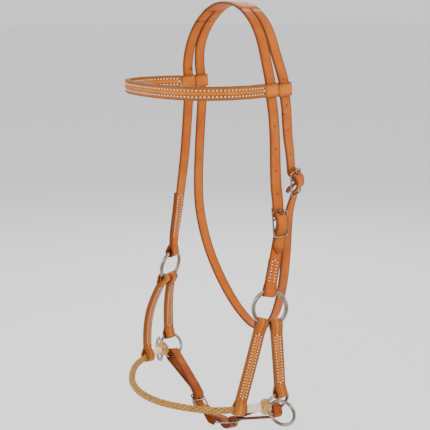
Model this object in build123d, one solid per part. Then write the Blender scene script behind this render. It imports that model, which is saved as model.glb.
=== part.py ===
"""Rope-nose sidepull headstall (bitless bridle), in millimetres.

+X is the horse's left side, where the buckles are (near side), -Y is towards the nose and +Z is up.
The origin is the underside of the crown strap at the top of the poll.
Names use near for the left side and off for the right side, as riders do.
"""
import os
from math import cos, pi, radians, sin, tan

from build123d import *

# ---------------------------------------------------------------- driving dimensions
STRAP = 16.0            # width of every strap, five eighths of an inch
LEATHER = 3.0           # thickness of one layer
BROWBAND_HEIGHT = 17.0
LAYER_GAP = 0.1         # between two layers that lie on each other
FOLD_SPREAD = 0.3       # how much wider the leather gets where it folds round a ring
EYE_WIDTH = 9.0         # inside of a strap's fold round a ring, across the strap's faces
EYE_LENGTH = 13.0       # inside of a strap's fold round a ring, along the strap

WIRE = 1.2              # radius of a buckle frame's wire
BUCKLE_LENGTH = 34.5    # top bar to bottom bar, centre to centre
BUCKLE_WIDTH = 20.6     # side bar to side bar, centre to centre
CENTRE_BAR = 11.3       # top bar to centre bar, centre to centre
BUCKLE_CORNER = 4.0
TONGUE = 0.9            # radius of a tongue's shank
TONGUE_EYE = 2.1        # outer radius of the tongue's wrap round the top bar
TONGUE_PLAY = 0.1       # radial clearance of the wrap on its bar
TONGUE_TIP = 10.8       # how far the tongue reaches from the top bar
TONGUE_HEIGHT = 2.3     # the shank's height over the frame's plane
TONGUE_HOLE = 1.8       # radius of the hole that the tongue stands in
PUNCHED_HOLE = 1.6      # radius of the spare punched holes

SIDE_RING = (22.3, 2.75)    # ring radius to the wire's centre, wire radius
JAW_RING = (17.7, 2.25)
REIN_RING = (17.7, 2.2)
SIDE_RING_CENTRE = (122.0, -26.0, -383.0)
SIDE_RING_AZIMUTH = 68.0    # which way the near ring's face looks, 90 is straight out to the side
SIDE_RING_TILT = 10.0       # the face looks up by this much
RING_CLEARANCE = 0.45       # round a ring's wire where it runs through a knot

ROPE = 4.6              # rope radius
SLEEVE = 5.6            # radius of the rawhide sleeve on the rope
KNOT_RADIUS = 11.0
KNOT_FRONT = 5.0        # end knot, in front of and behind its centre
KNOT_BACK = 8.0
KNOT_CENTRE = (130.0, -39.0, -515.5)
OFF_DROP = 4.0          # the off side's noseband end hangs this much lower

DOUBLE = 2 * LEATHER + LAYER_GAP
NEAR, OFF = 1, -1


# ---------------------------------------------------------------- helpers
def on_side(side, point):
    """A point given for the near side, moved to the side asked for."""
    drop = OFF_DROP if side == OFF else 0.0
    return Vector(side * point[0], point[1], point[2] - drop)


def flat(vector, normal):
    """The unit vector nearest to `vector` that is square to `normal`."""
    return (vector - normal * vector.dot(normal)).normalized()


def facing(azimuth):
    """Across direction of a strap whose face looks to this azimuth, 90 is +X."""
    return Vector(cos(radians(azimuth)), sin(radians(azimuth)), 0)


def place(station):
    """Position of a station."""
    return Vector(*station[:3])


def strap(stations, first_way=None, last_way=None, width=STRAP, thickness=LEATHER, raised=0.0):
    """Flat strap through stations (x, y, z, face azimuth), raised from them along its face's normal."""
    points = [place(station) for station in stations]
    ways = [b - a for a, b in zip(points, points[1:])]
    ways = [first_way or ways[0]] + [b - a for a, b in zip(points, points[2:])] + [last_way or ways[-1]]
    sections = []
    for point, way, station in zip(points, ways, stations):
        along = way.normalized()
        plane = Plane(point, x_dir=flat(facing(station[3]), along), z_dir=along)
        sections.append(plane * Pos(0, raised) * Rectangle(width, thickness))
    return loft(sections, ruled=True)


def mirrored(stations):
    """The same stations on the other side of the head."""
    return [(-x, y, z, 180 - azimuth) for x, y, z, azimuth in stations]


def side_path(points, radii, distance):
    """Line parallel to a bent path, its corners rounded so that the two stay parallel."""
    points = [Vector(*point) for point in points]
    ways = [(b - a).normalized() for a, b in zip(points, points[1:])]
    normals = [Vector(-way.Y, way.X) for way in ways]
    corners = [points[0] + normals[0] * distance]
    rounds = []
    for index, radius in enumerate(radii):
        first, second = normals[index], normals[index + 1]
        corners.append(points[index + 1] + (first + second) * (distance / (1 + first.dot(second))))
        turn = ways[index].cross(ways[index + 1]).Z
        rounds.append(radius - distance * (1 if turn > 0 else -1))
    corners.append(points[-1] + normals[-1] * distance)
    return FilletPolyline(*corners, radius=rounds) if radii else Line(*corners)


def ribbon(plane, points, radii, thickness=LEATHER, width=STRAP):
    """Strip that bends along a path in `plane` and is `width` wide, square to it."""
    left = side_path(points, radii, thickness / 2)
    right = side_path(points, radii, -thickness / 2)
    ends = [Line(left @ 0, right @ 0), Line(left @ 1, right @ 1)]
    return extrude(plane * make_face(left.edges() + right.edges() + ends), width / 2, both=True)


def fold(centre, along, across, hole=(EYE_WIDTH, EYE_LENGTH), width=STRAP):
    """Closed fold of a strap round a ring: its outer block and the opening to cut from it."""
    width += FOLD_SPREAD
    plane = Plane(centre, x_dir=along, z_dir=across)
    straight = hole[1] - hole[0]
    outer = plane * SlotCenterToCenter(straight, hole[0] + 2 * LEATHER)
    inner = plane * SlotCenterToCenter(straight, hole[0])
    return extrude(outer, width / 2, both=True), extrude(inner, width, both=True)


def pointed_end(end, way, across, length=6.5):
    """Two wedges that cut a strap to a point at `end`."""
    plane = Plane(end, x_dir=across, z_dir=across.cross(way))
    half = STRAP / 2
    wedges = None
    for side in (NEAR, OFF):
        corners = [(0, 0), (side * half, -length), (side * 2 * half, -length), (side * 2 * half, half), (0, half)]
        wedge = extrude(plane * make_face(Polyline(*corners, close=True)), 3 * LEATHER, both=True)
        wedges = wedge if wedges is None else wedges + wedge
    return wedges


def ring(plane, size):
    """Welded ring that lies in `plane`."""
    return plane * Torus(*size)


def rod(start, end, radius):
    """Round bar from start to end."""
    way = end - start
    return extrude(Plane(start, z_dir=way) * Circle(radius), way.length)


def corner_radii(points, share):
    """Large corner radii for a bent path; `share` is the part of each run that a corner may use."""
    ways = [b - a for a, b in zip(points, points[1:])]
    return [share * min(first.length, second.length) / tan(radians(first.get_angle(second)) / 2)
            for first, second in zip(ways, ways[1:])]


# ---------------------------------------------------------------- rings
def side_ring_plane(side):
    """Plane of a side ring: x is to the rear in the ring and y is upwards."""
    azimuth, tilt = radians(SIDE_RING_AZIMUTH), radians(SIDE_RING_TILT)
    normal = Vector(side * sin(azimuth) * cos(tilt), -cos(azimuth) * cos(tilt), sin(tilt))
    upwards = flat(Vector(0, 0, 1), normal)
    centre = Vector(side * SIDE_RING_CENTRE[0], *SIDE_RING_CENTRE[1:])
    rear = flat(Vector(0, 1, 0), normal)
    rear = flat(rear, upwards)
    return Plane(centre, x_dir=rear, z_dir=rear.cross(upwards))


SIDE_RING_PLANES = {side: side_ring_plane(side) for side in (NEAR, OFF)}


def in_side_ring(side, rearwards, upwards):
    """Point in a side ring's plane, measured from the ring's centre."""
    plane = SIDE_RING_PLANES[side]
    return plane.origin + plane.x_dir * rearwards + plane.y_dir * upwards


JAW_RING_LEAN = 24.0                # the jaw ring leans outwards by this much at the top
JAW_RING_FROM_KNOT = (1.5, 19.0, 2.0)


def jaw_ring_plane(side):
    """Jaw ring, between the rear side strap and the chin strap; y is upwards and outwards in it."""
    lean = Vector(side * sin(radians(JAW_RING_LEAN)), 0, cos(radians(JAW_RING_LEAN)))
    offset = Vector(side * JAW_RING_FROM_KNOT[0], *JAW_RING_FROM_KNOT[1:])
    return Plane(on_side(side, KNOT_CENTRE) + offset, x_dir=(0, 1, 0), z_dir=Vector(0, 1, 0).cross(lean))


def jaw_ring_point(side, end):
    """Top (1) or bottom (-1) of a jaw ring's wire."""
    plane = jaw_ring_plane(side)
    return plane.origin + plane.y_dir * (end * JAW_RING[0])


# Where each knot holds its rein ring, which way the ring lies from there and the ring's normal.
REIN_RING_HELD = {NEAR: (134.4, -33.8, -517.0), OFF: (-135.2, -34.8, -522.1)}
REIN_RING_WAY = {NEAR: (0.518, 0.768, -0.375), OFF: (-0.892, 0.260, -0.371)}
REIN_RING_NORMAL = {NEAR: (0.618, -0.033, 0.786), OFF: (0.300, 0.952, -0.054)}


def rein_ring_plane(side):
    """Rein ring: it lies outwards and back from its knot."""
    way = Vector(*REIN_RING_WAY[side]).normalized()
    normal = flat(Vector(*REIN_RING_NORMAL[side]), way)
    return Plane(Vector(*REIN_RING_HELD[side]) + way * REIN_RING[0], x_dir=way, z_dir=normal)


# ---------------------------------------------------------------- buckles
# A buckle's plane has its origin on the top bar, x down the strap and y out of the frame.
def hanging_buckle_plane(top_bar, way, azimuth):
    """Plane of a buckle on a hanging strap."""
    along = Vector(*way).normalized()
    out = flat(Vector(sin(radians(azimuth)), -cos(radians(azimuth)), 0), along)
    return Plane(Vector(*top_bar), x_dir=along, z_dir=along.cross(out))


# The chin strap lies in its own plane: x to the near side, y down.
CHIN_EYES = {side: jaw_ring_point(side, -1) for side in (NEAR, OFF)}
CHIN_PLANE = Plane((0, CHIN_EYES[NEAR].Y, -530), x_dir=(1, 0, 0), z_dir=(0, 0.99, -0.14))
CHIN_BUCKLES = {NEAR: ((48.0, 44.5), 22.0), OFF: ((-53.0, 40.0), 32.0)}  # top bar, slope of the strap


def chin_buckle_plane(side):
    """Plane of a chin buckle: x runs along the strap towards the middle, y is down and out."""
    (right, down), slope = CHIN_BUCKLES[side]
    slope = radians(slope)
    along = CHIN_PLANE.x_dir * (-side * cos(slope)) + CHIN_PLANE.y_dir * sin(slope)
    out = CHIN_PLANE.x_dir * (side * sin(slope)) + CHIN_PLANE.y_dir * cos(slope)
    origin = CHIN_PLANE.origin + CHIN_PLANE.x_dir * right + CHIN_PLANE.y_dir * down
    return Plane(origin, x_dir=along, z_dir=along.cross(out))


BUCKLES = {
    "cheek": hanging_buckle_plane((105.3, 1.0, -259.0), (0.088, 0.028, -0.996), 78),
    "throat": hanging_buckle_plane((108.0, 24.3, -208.3), (-0.172, 0.209, -0.963), 104),
    "near_chin": chin_buckle_plane(NEAR),
    "off_chin": chin_buckle_plane(OFF),
}

# Paths of the two layers through a buckle, as (down the strap, out of the frame), and their bends.
OUTER_PATH = [(2.2, -3.9), (7.4, 5.8), (13, 7.5), (20, 6.8), (25.5, 2.6), (30.5, -2.4), (38, -4.0)]
OUTER_BENDS = [2.0, 2.6, 12, 12, 30, 8]
INNER_PATH = [(4.0, -7.0), (9.4, 2.95), (13.4, 4.4), (18.6, 3.7), (24, -0.8), (28.8, -5.6), (38, -7.6)]
INNER_BENDS = [3.5, 1.9, 8, 8, 27, 8]
OUTER_START = (-14, -3.9)
INNER_START = (-4, -7.0)


def local(plane, down, out, across=0.0):
    """Point given in a buckle's plane."""
    return plane.origin + plane.x_dir * down + plane.y_dir * out + plane.z_dir * across


def tongue_hole(plane):
    """Opening that the tongue stands in, with room for it to rock."""
    return rod(local(plane, 0.5, 1.7), local(plane, CENTRE_BAR + 0.5, TONGUE_HEIGHT + 0.5), TONGUE_HOLE)


def buckle_frame(plane):
    """Wire frame with a centre bar between its side bars."""
    middle = local(plane, BUCKLE_LENGTH / 2, 0)
    turned = Plane(middle, x_dir=plane.x_dir, z_dir=plane.y_dir)
    path = (turned * RectangleRounded(BUCKLE_LENGTH, BUCKLE_WIDTH, BUCKLE_CORNER)).wire()
    frame = sweep(Plane(path @ 0, z_dir=path % 0) * Circle(WIRE), path=path)
    half = BUCKLE_WIDTH / 2
    return frame + rod(local(plane, CENTRE_BAR, 0, -half), local(plane, CENTRE_BAR, 0, half), WIRE)


def buckle_tongue(plane):
    """Tongue: a wrap that turns on the top bar and a shank that rests on the centre bar."""
    half = 1.8
    wrap = rod(local(plane, 0, 0, -half), local(plane, 0, 0, half), TONGUE_EYE)
    shank = rod(local(plane, 0, 1.2), local(plane, TONGUE_TIP, TONGUE_HEIGHT - 0.1), TONGUE)
    bar = rod(local(plane, 0, 0, -2 * half), local(plane, 0, 0, 2 * half), WIRE + TONGUE_PLAY)
    return wrap + shank - bar


# ---------------------------------------------------------------- crown
FRONT_CROWN = [(40, -8.75, -8, 90), (54, -9, -16.8, 90), (66, -9.3, -27, 90), (77, -9.5, -41, 90),
               (86, -9.5, -58.5, 90), (92.5, -9, -79, 90), (94.9, -8.3, -93, 90), (95.3, -7.4, -112, 90)]
REAR_CROWN = [(40, 7.75, -8, 90), (54, 7.6, -16.8, 90), (66, 7.7, -27, 90), (77, 8, -41, 90),
              (86, 9.3, -58.5, 90), (92.5, 12.5, -79, 90), (94.9, 14.6, -93, 90), (95.3, 15.8, -112, 90)]
POLL_END_WAY = {NEAR: Vector(27, 0, -14.2), OFF: Vector(-27, 0, -14.2)}
CHEEK_HOLES = [(97.5, -4, -149), (98.9, -3, -178), (99.8, -2.6, -207), (100.5, -0.8, -237)]
THROAT_HOLES = [(94.6, 14.3, -91), (96.2, 16.6, -124), (98.2, 17.6, -155.6), (101.6, 19.9, -186)]


def punched(leather, holes):
    """The strap with its spare holes."""
    for hole in holes:
        leather -= Pos(*hole) * Rot(0, 90, 0) * Cylinder(PUNCHED_HOLE, 6 * LEATHER)
    return leather


def crown_poll():
    """Unslit top of the crown strap, over the poll."""
    half = [(0, -0.5, LEATHER / 2, 90), (13, -0.5, 0.7, 90), (27, -0.5, -2.6, 90), (40, -0.5, -8, 90)]
    stations = [(-x, y, z, 90) for x, y, z, _ in half[:0:-1]] + half
    rising = Vector(POLL_END_WAY[NEAR].X, 0, -POLL_END_WAY[NEAR].Z)
    return strap(stations, rising, POLL_END_WAY[NEAR], width=2 * STRAP + 0.5)


def near_cheek_billet():
    """Front branch of the crown on the near side, with its punched holes and its pointed tip."""
    plane = BUCKLES["cheek"]
    top, low = local(plane, *OUTER_START), local(plane, *OUTER_PATH[-1])
    hang = [(96.4, -5.6, -127, 90), (97.4, -4, -145, 90), (98.6, -3, -168, 88), (99.6, -3, -191, 85),
            (100.2, -2.4, -215, 82), (100.5, -1, -232, 79), (*top, 78)]
    upper = strap(FRONT_CROWN + hang, POLL_END_WAY[NEAR], plane.x_dir)
    middle = ribbon(plane, [OUTER_START] + OUTER_PATH, OUTER_BENDS)
    tip = low + LOWER_CHEEK_WAY * 20
    lower = strap([(*(low - LOWER_CHEEK_WAY * 0.2), 77), (*tip, 74.6)])
    billet = upper + middle + lower - tongue_hole(plane)
    billet -= pointed_end(tip, LOWER_CHEEK_WAY, flat(facing(74), LOWER_CHEEK_WAY))
    return punched(billet, CHEEK_HOLES)


def near_throat_billet():
    """Rear branch of the crown on the near side; its end hangs inside the throatlatch."""
    plane = BUCKLES["throat"]
    hang = [(96.3, 16.7, -127, 90), (97.4, 17, -142, 92), (99, 18, -165, 95), (101.3, 19.6, -182, 99),
            (*local(plane, -8, -7.0), 104)]
    upper = strap(REAR_CROWN + hang, POLL_END_WAY[NEAR], plane.x_dir)
    path = [(-8, -7.0)] + INNER_PATH[:2] + [(13.5, 4.2), (17.5, 1.5), (23, -7), (36, -14)]
    tail = ribbon(plane, path, [3.5, 1.9, 4, 4, 20])
    end = local(plane, 36, -14)
    way = (end - local(plane, 23, -7)).normalized()
    billet = upper + tail - tongue_hole(plane) - pointed_end(end, way, plane.z_dir)
    return punched(billet, THROAT_HOLES)


NEAR_EYE = in_side_ring(NEAR, 0, SIDE_RING[0])
OFF_EYE = in_side_ring(OFF, 0, SIDE_RING[0])
FACE_OUT = {side: Vector(side * sin(radians(SIDE_RING_AZIMUTH)), -cos(radians(SIDE_RING_AZIMUTH)), 0)
            for side in (NEAR, OFF)}
HALF_DOUBLE = (LEATHER + LAYER_GAP) / 2
LOWER_CHEEK_TOP = local(BUCKLES["cheek"], *INNER_PATH[-1])
LOWER_CHEEK_REACH = NEAR_EYE + FACE_OUT[NEAR] * HALF_DOUBLE - LOWER_CHEEK_TOP
LOWER_CHEEK_WAY = LOWER_CHEEK_REACH.normalized()


def near_lower_cheek():
    """Short cheek piece from the buckle to the near side ring, folded round the ring and sewn."""
    plane, reach = BUCKLES["cheek"], LOWER_CHEEK_REACH
    middle = ribbon(plane, [INNER_START] + INNER_PATH, INNER_BENDS) - tongue_hole(plane)
    stations = [(*(LOWER_CHEEK_TOP + reach * part), 77 - 9 * part) for part in (-0.002, 0.4, 0.7, 1)]
    single = strap(stations[:2])
    lap = strap(stations[1:], thickness=DOUBLE, raised=-HALF_DOUBLE)
    across = SIDE_RING_PLANES[NEAR].x_dir
    outer, hole = fold(NEAR_EYE, flat(LOWER_CHEEK_WAY, across), across)
    return middle + single + lap + outer - hole


OFF_CHEEK = mirrored(FRONT_CROWN) + [
    (-96, -7.6, -124, 90), (-96.8, -8.5, -145, 90), (-98.5, -9.5, -170, 91), (-101, -12, -213, 92),
    (-103.8, -14.3, -240, 94)]
OFF_LAP = [(-107, -15.8, -265, 97), (-111, -18, -299, 101), (-115, -21, -330, 106)]


def off_cheek_strap():
    """Front branch of the crown on the off side, down to the off side ring, folded and sewn there."""
    azimuth = 180 - SIDE_RING_AZIMUTH
    turn = place(OFF_LAP[1]) - place(OFF_CHEEK[-1])
    single = strap(OFF_CHEEK + OFF_LAP[:1], POLL_END_WAY[OFF], turn)
    end = OFF_EYE - FACE_OUT[OFF] * HALF_DOUBLE
    lap = strap(OFF_LAP + [(*end, azimuth)], turn, thickness=DOUBLE, raised=-HALF_DOUBLE)
    across = SIDE_RING_PLANES[OFF].x_dir
    outer, hole = fold(OFF_EYE, flat(end - place(OFF_LAP[-1]), across), across)
    return single + lap + outer - hole


OFF_THROAT = mirrored(REAR_CROWN) + [
    (-96, 17, -124, 90), (-98, 16.5, -143, 90), (-101, 16, -175, 90), (-104, 16, -210, 90),
    (-105.5, 15, -250, 90), (-104, 15, -290, 90), (-96, 18, -330, 90), (-84, 24.5, -370, 90),
    (-64, 33.5, -410, 90), (-37, 41, -443, 90)]
UNDER_JAW = [
    (-37, 41, -443, 90), (0, 45, -462, 90), (30.7, 41, -450, 90), (55.4, 36, -427, 90),
    (72.3, 31, -397.5, 90), (85.7, 26, -364, 90), (92, 23.5, -336, 90), (94, 23.5, -311, 91),
    (94, 24.5, -284, 94), (94.8, 26.8, -262, 99)]
JAW_WAY = place(UNDER_JAW[1]) - place(OFF_THROAT[-2])


def off_throat_strap():
    """Rear branch of the crown on the off side, which becomes the throatlatch."""
    return strap(OFF_THROAT, POLL_END_WAY[OFF], JAW_WAY)


def throatlatch():
    """The same strap under the jaw and up to its buckle on the near side."""
    plane = BUCKLES["throat"]
    lower = strap(UNDER_JAW + [(*local(plane, *OUTER_PATH[-1]), 104)], JAW_WAY, -plane.x_dir)
    upper = ribbon(plane, [(-1.5, -3.9)] + OUTER_PATH, OUTER_BENDS)
    return lower + upper - tongue_hole(plane)


# ---------------------------------------------------------------- browband
BROW_LEVEL = -103.0
BROW_FRONT = [(96.9, -20.8), (103.5, -46), (103, -82), (84, -117), (44, -134), (0, -137.5)]
CHEEK_LOOP = ((95.1, -7.7), (6.4, 18.6))     # centre and inside size of the loop round the cheek strap
THROAT_LOOP = ((95.1, 15.2), (6.4, 18.6))
LOOP_WALL = 2.2


def browband():
    """Doubled band over the forehead."""
    points = [Vector(*point) for point in BROW_FRONT]
    points += [Vector(-point.X, point.Y) for point in points[-2::-1]]
    return ribbon(Plane((0, 0, BROW_LEVEL)), points, corner_radii(points, 0.42), DOUBLE, BROWBAND_HEIGHT)


def browband_loops(side):
    """The two loops at one end of the browband, round the cheek strap and the throat strap."""
    walls, holes = None, None
    for (across, back), (wide, long) in (CHEEK_LOOP, THROAT_LOOP):
        middle = Pos(side * across, back, BROW_LEVEL)
        wall = middle * RectangleRounded(wide + 2 * LOOP_WALL, long + 2 * LOOP_WALL, LOOP_WALL + 1.5)
        hole = middle * RectangleRounded(wide, long, 1.5)
        walls = wall if walls is None else walls + wall
        holes = hole if holes is None else holes + hole
    return extrude(walls - holes, BROWBAND_HEIGHT / 2, both=True)


# ---------------------------------------------------------------- noseband
RING_EYE = (EYE_WIDTH, 17.5)    # inside of a side strap's fold round a side ring
FRONT_EYE = (-12.3, -18.6)      # front side strap's fold on the side ring: rearwards, upwards
REAR_EYE = (7.3, -21.1)
ROPE_WAY = (-0.342, -0.940)     # the rope's direction as it leaves a knot
ROPE_END_RUN = 50.0
ROPE_END = 2.0                  # the rope stops inside the knot, this far in front of its centre
ROPE_OVER_NOSE = [(84, -118), (30, -149)]
STRAP_ON_ROPE = 35.0            # from the knot's centre to the front side strap
SIDE_STRAP = 15.6
STRAP_BOW = {NEAR: (1.0, 0.5), OFF: (13.0, 4.0)}     # how far the front and rear straps curve outwards


def rope_point(side, distance):
    """Point on the rope's straight end, this far in front of the knot."""
    return on_side(side, (KNOT_CENTRE[0] + ROPE_WAY[0] * distance,
                          KNOT_CENTRE[1] + ROPE_WAY[1] * distance, KNOT_CENTRE[2]))


def doubled_strap(top, bottom, across, bottom_hole, bow):
    """Strap doubled on itself and sewn, with an open fold at each end."""
    way = (bottom - top).normalized()
    sections = []
    for part in (0, 0.25, 0.5, 0.75, 1):
        here = flat(across[0] * (1 - part) + across[1] * part, way)
        out = here.cross(way)
        out = out if out.X * top.X > 0 else -out
        centre = top + (bottom - top) * part + out * (bow * sin(pi * part))
        sections.append(Plane(centre, x_dir=here, z_dir=way) * Rectangle(SIDE_STRAP, DOUBLE))
    first, first_hole = fold(top, way, flat(across[0], way), RING_EYE, width=SIDE_STRAP)
    last, last_hole = fold(bottom, flat(way, across[1]), across[1], bottom_hole, width=SIDE_STRAP)
    return loft(sections, ruled=True) + first + last - first_hole - last_hole


def front_side_strap(side):
    """From the side ring to the rope."""
    top, bottom = in_side_ring(side, *FRONT_EYE), rope_point(side, STRAP_ON_ROPE)
    across = (SIDE_RING_PLANES[side].x_dir, Vector(-side * ROPE_WAY[0], -ROPE_WAY[1], 0).normalized())
    hole = (2 * ROPE + 1.4, 2 * ROPE + 2.8)
    return doubled_strap(top, bottom, across, hole, STRAP_BOW[side][0])


def rear_side_strap(side):
    """From the side ring to the jaw ring."""
    top, bottom = in_side_ring(side, *REAR_EYE), jaw_ring_point(side, 1)
    across = (SIDE_RING_PLANES[side].x_dir, Vector(0, 1, 0))
    return doubled_strap(top, bottom, across, (EYE_WIDTH, 10.0), STRAP_BOW[side][1])


def rope_noseband():
    """Rope over the nose: straight runs joined by large arcs, with its ends inside the knots."""
    ends = [rope_point(NEAR, 0), rope_point(NEAR, ROPE_END_RUN), rope_point(OFF, ROPE_END_RUN),
            rope_point(OFF, 0)]
    level, fall = (ends[0].Z + ends[-1].Z) / 2, OFF_DROP / 2 / ends[0].X
    front = [Vector(x, y, level + x * fall) for x, y in ROPE_OVER_NOSE]
    front += [Vector(-x, y, level - x * fall) for x, y in reversed(ROPE_OVER_NOSE)]
    points = ends[:2] + front + ends[2:]
    points[0], points[-1] = rope_point(NEAR, ROPE_END), rope_point(OFF, ROPE_END)
    radii = corner_radii(points, 0.45)
    path = FilletPolyline(*points, radius=radii)
    rope = sweep(Plane(path @ 0, z_dir=path % 0) * Circle(ROPE), path=path)
    error = rope.volume / (pi * ROPE ** 2 * path.length) - 1
    print("rope", round(path.length), "mm, radii", [round(radius) for radius in radii], "error", round(error, 5))
    return rope


def rawhide_sleeve(side):
    """Rawhide wrapped round the rope between the front side strap and the knot."""
    start = rope_point(side, STRAP_ON_ROPE - SIDE_STRAP / 2 - 2.5)
    end = rope_point(side, KNOT_FRONT + 0.3)
    return rod(start, end, SLEEVE) - rod(start, end, ROPE + 0.02)


def end_knot(side):
    """Braided rawhide knot on the rope's end, which holds the jaw ring and the rein ring."""
    knot = rod(rope_point(side, KNOT_FRONT), rope_point(side, -KNOT_BACK), KNOT_RADIUS)
    knot = fillet(knot.edges().filter_by(GeomType.CIRCLE), 4.0)
    knot -= rod(rope_point(side, 2 * KNOT_FRONT), rope_point(side, ROPE_END - 0.1), ROPE + 0.02)
    for plane, size in ((jaw_ring_plane(side), JAW_RING), (rein_ring_plane(side), REIN_RING)):
        knot -= ring(plane, (size[0], size[1] + RING_CLEARANCE))
    return knot


# ---------------------------------------------------------------- chin strap
CHIN_RETURN = 9.2                               # half the width of the leather's turn round a jaw ring
CHIN_RETURN_DEPTH = 10.0                        # how far past the ring's wire that turn reaches
CHIN_RETURN_SHIFT = 1.2                         # how far the turn sits off the wire's centre
CHIN_CORNER = 0.9                               # straight bit at each corner of the turn
CHIN_BENDS = (25.0, 28.0)                       # where the layers part, outer and inner
TIP_LENGTH = {NEAR: 8.0, OFF: 22.0}             # free end beyond the buckle's bottom bar
CHIN_BUCKLE = {NEAR: "near_chin", OFF: "off_chin"}
MIDDLE_BEND = 16.0


def chin_half(side):
    """One side of the chin strap: its tip, out through the buckle, round the jaw ring and back."""
    plane = BUCKLES[CHIN_BUCKLE[side]]
    eye = plane.to_local_coords(CHIN_EYES[side])
    eye = Vector(eye.X, eye.Y)
    bend_out, bend_in = Vector(-12, -4.0), Vector(-12, -7.1)
    away = (eye - (bend_out + bend_in) / 2).normalized()
    aside = Vector(away.Y, -away.X)
    square = aside * CHIN_RETURN
    corner = eye + away * CHIN_RETURN_DEPTH - aside * CHIN_RETURN_SHIFT
    end, low = Vector(*OUTER_PATH[-1]), Vector(0, -0.3)
    path = [end + Vector(TIP_LENGTH[side], 0) + low, *OUTER_PATH[::-1], bend_out, corner + square,
            corner - square, bend_in, *INNER_PATH]
    turn = CHIN_RETURN - CHIN_CORNER
    radii = [8.0, *OUTER_BENDS[::-1], CHIN_BENDS[0], turn, turn, CHIN_BENDS[1], *INNER_BENDS]
    return ribbon(plane, path, radii) - tongue_hole(plane)


def chin_middle():
    """The chin strap between its two buckles."""
    ends, ways = [], []
    for side in (NEAR, OFF):
        plane = BUCKLES[CHIN_BUCKLE[side]]
        before, end = [CHIN_PLANE.to_local_coords(local(plane, *point)) for point in INNER_PATH[-2:]]
        ends.append(Vector(end.X, end.Y))
        ways.append(Vector(end.X - before.X, end.Y - before.Y).normalized())
    reach = (ends[1] - ends[0]).cross(ways[1]).Z / ways[0].cross(ways[1]).Z
    return ribbon(CHIN_PLANE, [ends[0], ends[0] + ways[0] * reach, ends[1]], [MIDDLE_BEND])


# ---------------------------------------------------------------- assembly
SIDE_NAMES = {NEAR: "near", OFF: "off"}


def build():
    """Every node of the headstall by name."""
    nodes = {
        "crown_poll": crown_poll(), "near_cheek_billet": near_cheek_billet(),
        "near_throat_billet": near_throat_billet(), "near_lower_cheek": near_lower_cheek(),
        "off_cheek_strap": off_cheek_strap(), "off_throat_strap": off_throat_strap(),
        "throatlatch": throatlatch(), "browband": browband(), "rope_noseband": rope_noseband(),
        "chin_strap_middle": chin_middle(),
    }
    for name, plane in BUCKLES.items():
        nodes[name + "_buckle_frame"] = buckle_frame(plane)
        nodes[name + "_buckle_tongue"] = buckle_tongue(plane)
    for side, name in SIDE_NAMES.items():
        nodes[name + "_browband_loops"] = browband_loops(side)
        nodes[name + "_side_ring"] = ring(SIDE_RING_PLANES[side], SIDE_RING)
        nodes[name + "_jaw_ring"] = ring(jaw_ring_plane(side), JAW_RING)
        nodes[name + "_rein_ring"] = ring(rein_ring_plane(side), REIN_RING)
        nodes[name + "_front_side_strap"] = front_side_strap(side)
        nodes[name + "_rear_side_strap"] = rear_side_strap(side)
        nodes[name + "_rawhide_sleeve"] = rawhide_sleeve(side)
        nodes[name + "_end_knot"] = end_knot(side)
        nodes[name + "_chin_strap"] = chin_half(side)
    return nodes


os.makedirs("parts", exist_ok=True)
for node, shape in build().items():
    shape.label = node
    export_step(shape, f"parts/{node}.step")
    print(node, len(shape.solids()), "solid,", round(shape.volume), "mm3")
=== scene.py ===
from math import atan2, cos, pi, radians, sin

import bmesh
import bpy
import numpy as np
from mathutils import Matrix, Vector


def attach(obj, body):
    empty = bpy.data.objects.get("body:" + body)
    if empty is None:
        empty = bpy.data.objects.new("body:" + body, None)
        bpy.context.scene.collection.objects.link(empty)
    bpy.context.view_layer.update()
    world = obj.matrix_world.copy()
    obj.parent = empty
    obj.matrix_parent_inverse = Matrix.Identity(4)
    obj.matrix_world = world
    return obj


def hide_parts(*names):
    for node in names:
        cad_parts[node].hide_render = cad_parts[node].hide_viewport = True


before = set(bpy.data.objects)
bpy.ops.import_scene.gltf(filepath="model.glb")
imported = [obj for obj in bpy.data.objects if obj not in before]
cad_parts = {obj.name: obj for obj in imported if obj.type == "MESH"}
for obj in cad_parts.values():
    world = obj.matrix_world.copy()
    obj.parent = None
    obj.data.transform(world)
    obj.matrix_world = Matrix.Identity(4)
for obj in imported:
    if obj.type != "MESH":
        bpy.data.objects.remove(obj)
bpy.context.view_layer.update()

# Lengths below are in millimetres and become metres when a mesh is made.
MM = 0.001
LEATHER, STRAP, GAP = 3.0, 16.0, 0.1
HALF = (LEATHER + GAP) / 2
SIDES = {1: "near", -1: "off"}
BIG = 99.0                      # a corner cut as large as its runs allow
SIDE_RING, SIDE_WIRE = 22.3, 2.75
SMALL_RING, JAW_WIRE, REIN_WIRE = 17.7, 2.25, 2.2
CHEEK_EYE = 6.3                 # radius of a cheek strap's fold round its ring
HOLE = 1.4                      # radius of a punched hole
BROWBAND_LEVEL = -103.0
THREAD_SINK = 0.15              # how deep a stitch sits in the leather


# ---------------------------------------------------------------- camera, light, floor
def camera():
    data = bpy.data.cameras.new("camera")
    data.lens, data.sensor_width = 72.3, 36.0
    data.clip_start, data.clip_end = 0.01, 200
    eye = bpy.data.objects.new("camera", data)
    bpy.context.collection.objects.link(eye)
    eye.location = (0.9574, -0.6984, -0.0090)
    look = Vector((0.0, -0.028, -0.281)) - eye.location
    eye.rotation_euler = look.to_track_quat("-Z", "Y").to_euler()
    bpy.context.scene.camera = eye


def area_light(name, place, target, size, power, colour=(1, 1, 1)):
    data = bpy.data.lights.new(name, "AREA")
    data.shape, data.size, data.energy, data.color = "DISK", size, power, colour
    lamp = bpy.data.objects.new(name, data)
    bpy.context.collection.objects.link(lamp)
    lamp.location = place
    lamp.rotation_euler = (Vector(target) - Vector(place)).to_track_quat("-Z", "Y").to_euler()


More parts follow.
